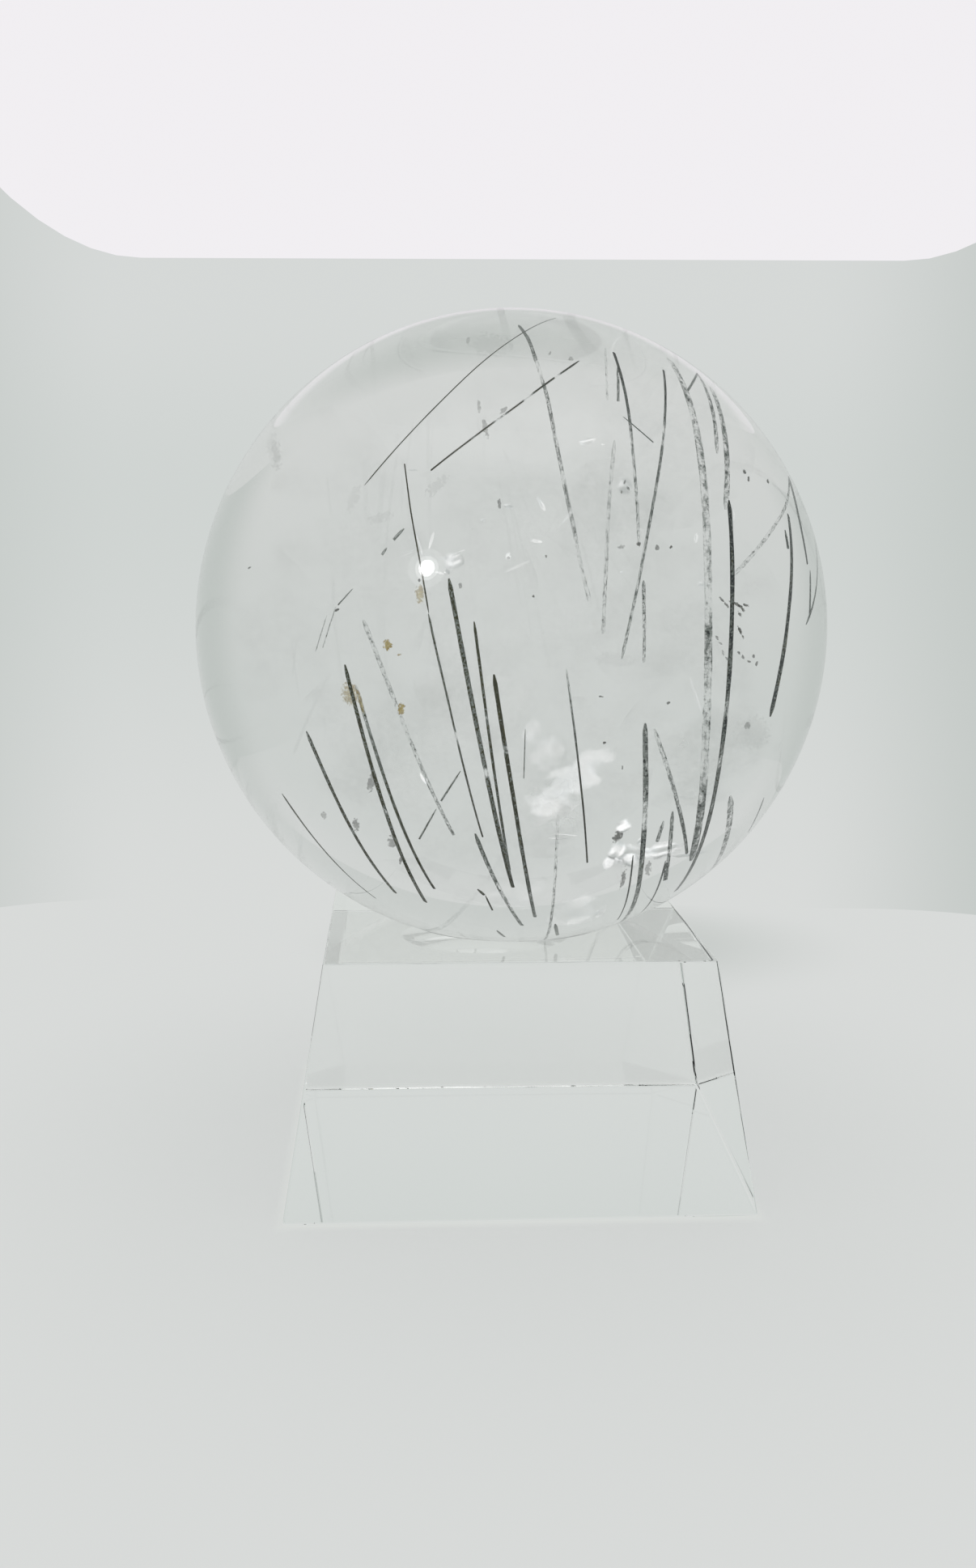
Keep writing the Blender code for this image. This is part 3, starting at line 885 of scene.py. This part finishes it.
# %% Set the bright flakes
FLAKE_COLOURS = ((0.99, 0.99, 0.99, 1.0), (0.94, 0.96, 0.97, 1.0))
SMALL_DIVISIONS = 3
FLAKES_AND_FLARE = (
    (698, 972, 66, 160, 43, 0.43, 0.3), (728, 948, 18, 44, -10, 0.45, 0.4),
    (676, 1000, 50, 60, 60, 0.4, 0.2), (690, 1036, 30, 3, 2, 0.4, 0.8), (687, 1042, 17, 3, 0, 0.4, 0.8),
    (698, 1032, 30, 3, 4, 0.4, 0.7), (773, 1056, 44, 40, 20, 0.35, 1), (771, 1021, 20, 24, 30, 0.35, 1),
    (818, 1051, 50, 22, -10, 0.35, 1), (857, 1055, 42, 9, 3, 0.35, 1),
    (772, 601, 22, 26, 15, 0.5, 0.75), (724, 546, 26, 10, -15, 0.5, 0.55),
    (668, 622, 7, 26, -28, 0.45, 0.9), (745, 549, 4, 4, 0, 0.4, 1), (768, 707, 6, 6, 0, 0.35, 1),
    (651, 644, 4, 4, 0, 0.4, 0.9), (628, 626, 16, 9, 20, 0.45, 0.7), (663, 669, 15, 7, 10, 0.5, 0.5),
    (691, 655, 9, 3, 0, 0.5, 0.5), (628, 687, 8, 14, 0, 0.5, 0.45), (560, 694, 28, 30, 10, 0.4, 0.75),
    (553, 707, 9, 8, 0, 0.4, 1), (582, 653, 5, 4, 0, 0.4, 1), (597, 643, 8, 5, -20, 0.4, 0.9),
    (555, 655, 3, 3, 0, 0.4, 0.9), (510, 581, 12, 3, 2, 0.4, 0.9), (525, 965, 6, 28, -26, 0.45, 0.85),
    (867, 723, 14, 14, 0, 0.5, 0.5), (860, 665, 5, 18, 0, 0.5, 0.4), (740, 1128, 14, 13, 0, 0.3, 0.5),
    (640, 1105, 90, 50, -10, 0.35, 0.25), (712, 1128, 70, 44, 8, 0.33, 0.25),
    (700, 640, 6, 40, 35, 0.4, 0.3), (735, 600, 4, 44, -40, 0.45, 0.3), (640, 700, 5, 50, 60, 0.45, 0.25),
    (860, 860, 5, 60, -20, 0.5, 0.25), (905, 650, 5, 60, -10, 0.45, 0.25),
    (655, 905, 26, 50, 10, 0.5, 0.2), (675, 930, 44, 70, 12, 0.5, 0.2),
    # These six rows are not cracks: they are strokes of painted glint for the flare round the lamp's small
    # image.
    (518, 672, 4, 36, -8, 0.4, 0.45), (533, 668, 4, 30, 12, 0.4, 0.4), (505, 683, 26, 4, -25, 0.4, 0.35),
    (548, 690, 26, 6, -12, 0.4, 0.5), (566, 684, 22, 5, -30, 0.4, 0.45), (543, 708, 18, 4, 15, 0.4, 0.4),
    (764, 1048, 24, 32, 15, 0.32, 1), (781, 1062, 22, 30, -20, 0.31, 1), (752, 1066, 14, 20, 10, 0.3, 0.9),
    (800, 1050, 20, 12, -8, 0.32, 0.9), (792, 1040, 12, 14, 20, 0.33, 0.8),
)

flake_and_flare_finish = inclusion_finish("open_crack_flake", FLAKE_COLOURS, grain=500.0, detail=2.0, metal=1.0,
                                softness=0.5, speckle=0.85, roughness=0.2)
make_sheets("crack_flakes_and_flare_strokes", FLAKES_AND_FLARE, flake_and_flare_finish, True, CRACK_SWING, SMALL_DIVISIONS)

# %% [markdown]
# ## Dark flecks and yellow stains
# Grains of other minerals lie between the cracks, and iron has stained a few spots yellow. They don't shine,
# so they get a dull finish and lean at random.

# %% Scatter the dark flecks
FLECK_COLOURS = ((0.05, 0.055, 0.05, 1.0), (0.2, 0.2, 0.16, 1.0))
GRAIN_SWING = 30
FLECKS = (
    (789, 672, 6, 10, 0, 0.4, 0.95), (768, 676, 11, 6, 0, 0.4, 0.4), (812, 677, 6, 8, 0, 0.4, 0.55),
    (829, 676, 4, 5, 0, 0.4, 0.8), (920, 583, 4, 5, -30, 0.35, 1), (925, 592, 2.5, 7, 0, 0.35, 1),
    (949, 595, 2.5, 5, 0, 0.35, 0.9), (892, 741, 3.5, 10, -50, 0.4, 0.7),
    (898, 748, 3.5, 11, -45, 0.4, 0.7), (903, 744, 3, 7, -60, 0.4, 0.6),
    (911, 747, 4, 12, -60, 0.4, 0.85), (917, 752, 4.5, 14, -55, 0.4, 0.9),
    (922, 748, 3.5, 9, -70, 0.4, 0.8), (914, 759, 3.5, 9, -40, 0.4, 0.8), (914, 779, 4, 13, -35, 0.4, 1),
    (918, 787, 3, 8, -20, 0.4, 0.8), (913, 807, 3, 6, -60, 0.4, 0.7), (918, 812, 3, 7, -20, 0.4, 0.6),
    (925, 817, 3, 7, -70, 0.4, 0.7), (931, 811, 3, 6, -20, 0.4, 0.6), (935, 820, 3, 7, 10, 0.4, 0.6),
    (886, 788, 3.5, 8, -30, 0.45, 0.6), (890, 795, 3, 7, -60, 0.45, 0.6),
    (893, 806, 3, 9, -20, 0.45, 0.5), (898, 814, 3, 8, -40, 0.45, 0.5), (923, 897, 8, 11, -15, 0.4, 0.4),
    (772, 596, 3, 6, 20, 0.48, 0.8), (776, 603, 3, 7, -30, 0.48, 0.8), (768, 608, 3, 5, 0, 0.48, 0.7),
    (747, 918, 4, 4, 0, 0.35, 0.95), (826, 869, 5, 4, 0, 0.35, 0.8), (769, 949, 2.5, 6, 0, 0.35, 0.9),
    (743, 861, 7, 2.5, 5, 0.35, 0.7), (763, 1034, 12, 18, 20, 0.42, 0.8),
    (770, 1086, 7, 26, 5, 0.45, 0.55), (801, 1074, 8, 16, 0, 0.45, 0.35),
    (459, 967, 11, 26, 15, 0.35, 0.42), (440, 1020, 11, 17, -15, 0.35, 0.5),
    (484, 1040, 13, 15, 0, 0.35, 0.42), (495, 1064, 5, 8, 0, 0.35, 0.6), (400, 1008, 7, 9, 0, 0.4, 0.3),
    (617, 622, 5, 15, -5, 0.5, 0.5), (600, 530, 7, 26, -12, 0.5, 0.36), (592, 502, 5, 17, -5, 0.5, 0.3),
    (622, 507, 14, 6, -40, 0.5, 0.35), (569, 724, 6, 11, -15, 0.4, 0.42),
    (518, 717, 3.5, 5, 0, 0.35, 0.75), (416, 754, 7, 3.5, -20, 0.35, 0.9),
    (308, 702, 5, 3, -20, 0.4, 0.6), (341, 560, 9, 30, -12, 0.5, 0.08), (675, 688, 4, 5, 0, 0.4, 0.6),
    (659, 737, 3.5, 4, 0, 0.4, 0.8), (679, 437, 4, 6, 20, 0.4, 0.35), (705, 444, 8, 5, -30, 0.4, 0.3),
    (628, 690, 4, 6, 0, 0.45, 0.3), (930, 905, 44, 44, 0, 0.45, 0.06), (578, 420, 5, 7, 0, 0.4, 0.22),
    (605, 425, 62, 24, 0, 0.4, 0.06), (540, 600, 16, 42, 45, 0.45, 0.07), (338, 556, 12, 40, -15, 0.5, 0.06),
    (437, 615, 14, 44, 20, 0.5, 0.05), (470, 640, 40, 14, -20, 0.5, 0.05), (760, 815, 60, 20, 5, 0.55, 0.04),
)

fleck_finish = inclusion_finish("dark_mineral_fleck", FLECK_COLOURS, grain=3500.0, detail=4.0, metal=0.0,
                                softness=0.4)
make_sheets("dark_mineral_flecks", FLECKS, fleck_finish, False, GRAIN_SWING,
            SMALL_DIVISIONS)

# %% Stain the yellow spots
STAIN_COLOURS = ((0.55, 0.38, 0.08, 1.0), (0.86, 0.74, 0.34, 1.0))
STAINS = (
    (479, 797, 13, 16, 10, 0.35, 0.95), (493, 809, 6, 3.5, -10, 0.35, 0.55),
    (496, 876, 10, 17, 10, 0.35, 0.95), (433, 858, 24, 34, -15, 0.27, 0.5),
    (446, 868, 5, 34, -16, 0.27, 0.5), (519, 735, 14, 26, -8, 0.4, 0.45),
)

stain_finish = inclusion_finish("iron_stain", STAIN_COLOURS, grain=3500.0, detail=4.0, metal=0.0,
                                softness=0.5)
make_sheets("iron_stains", STAINS, stain_finish, False, GRAIN_SWING, SMALL_DIVISIONS)
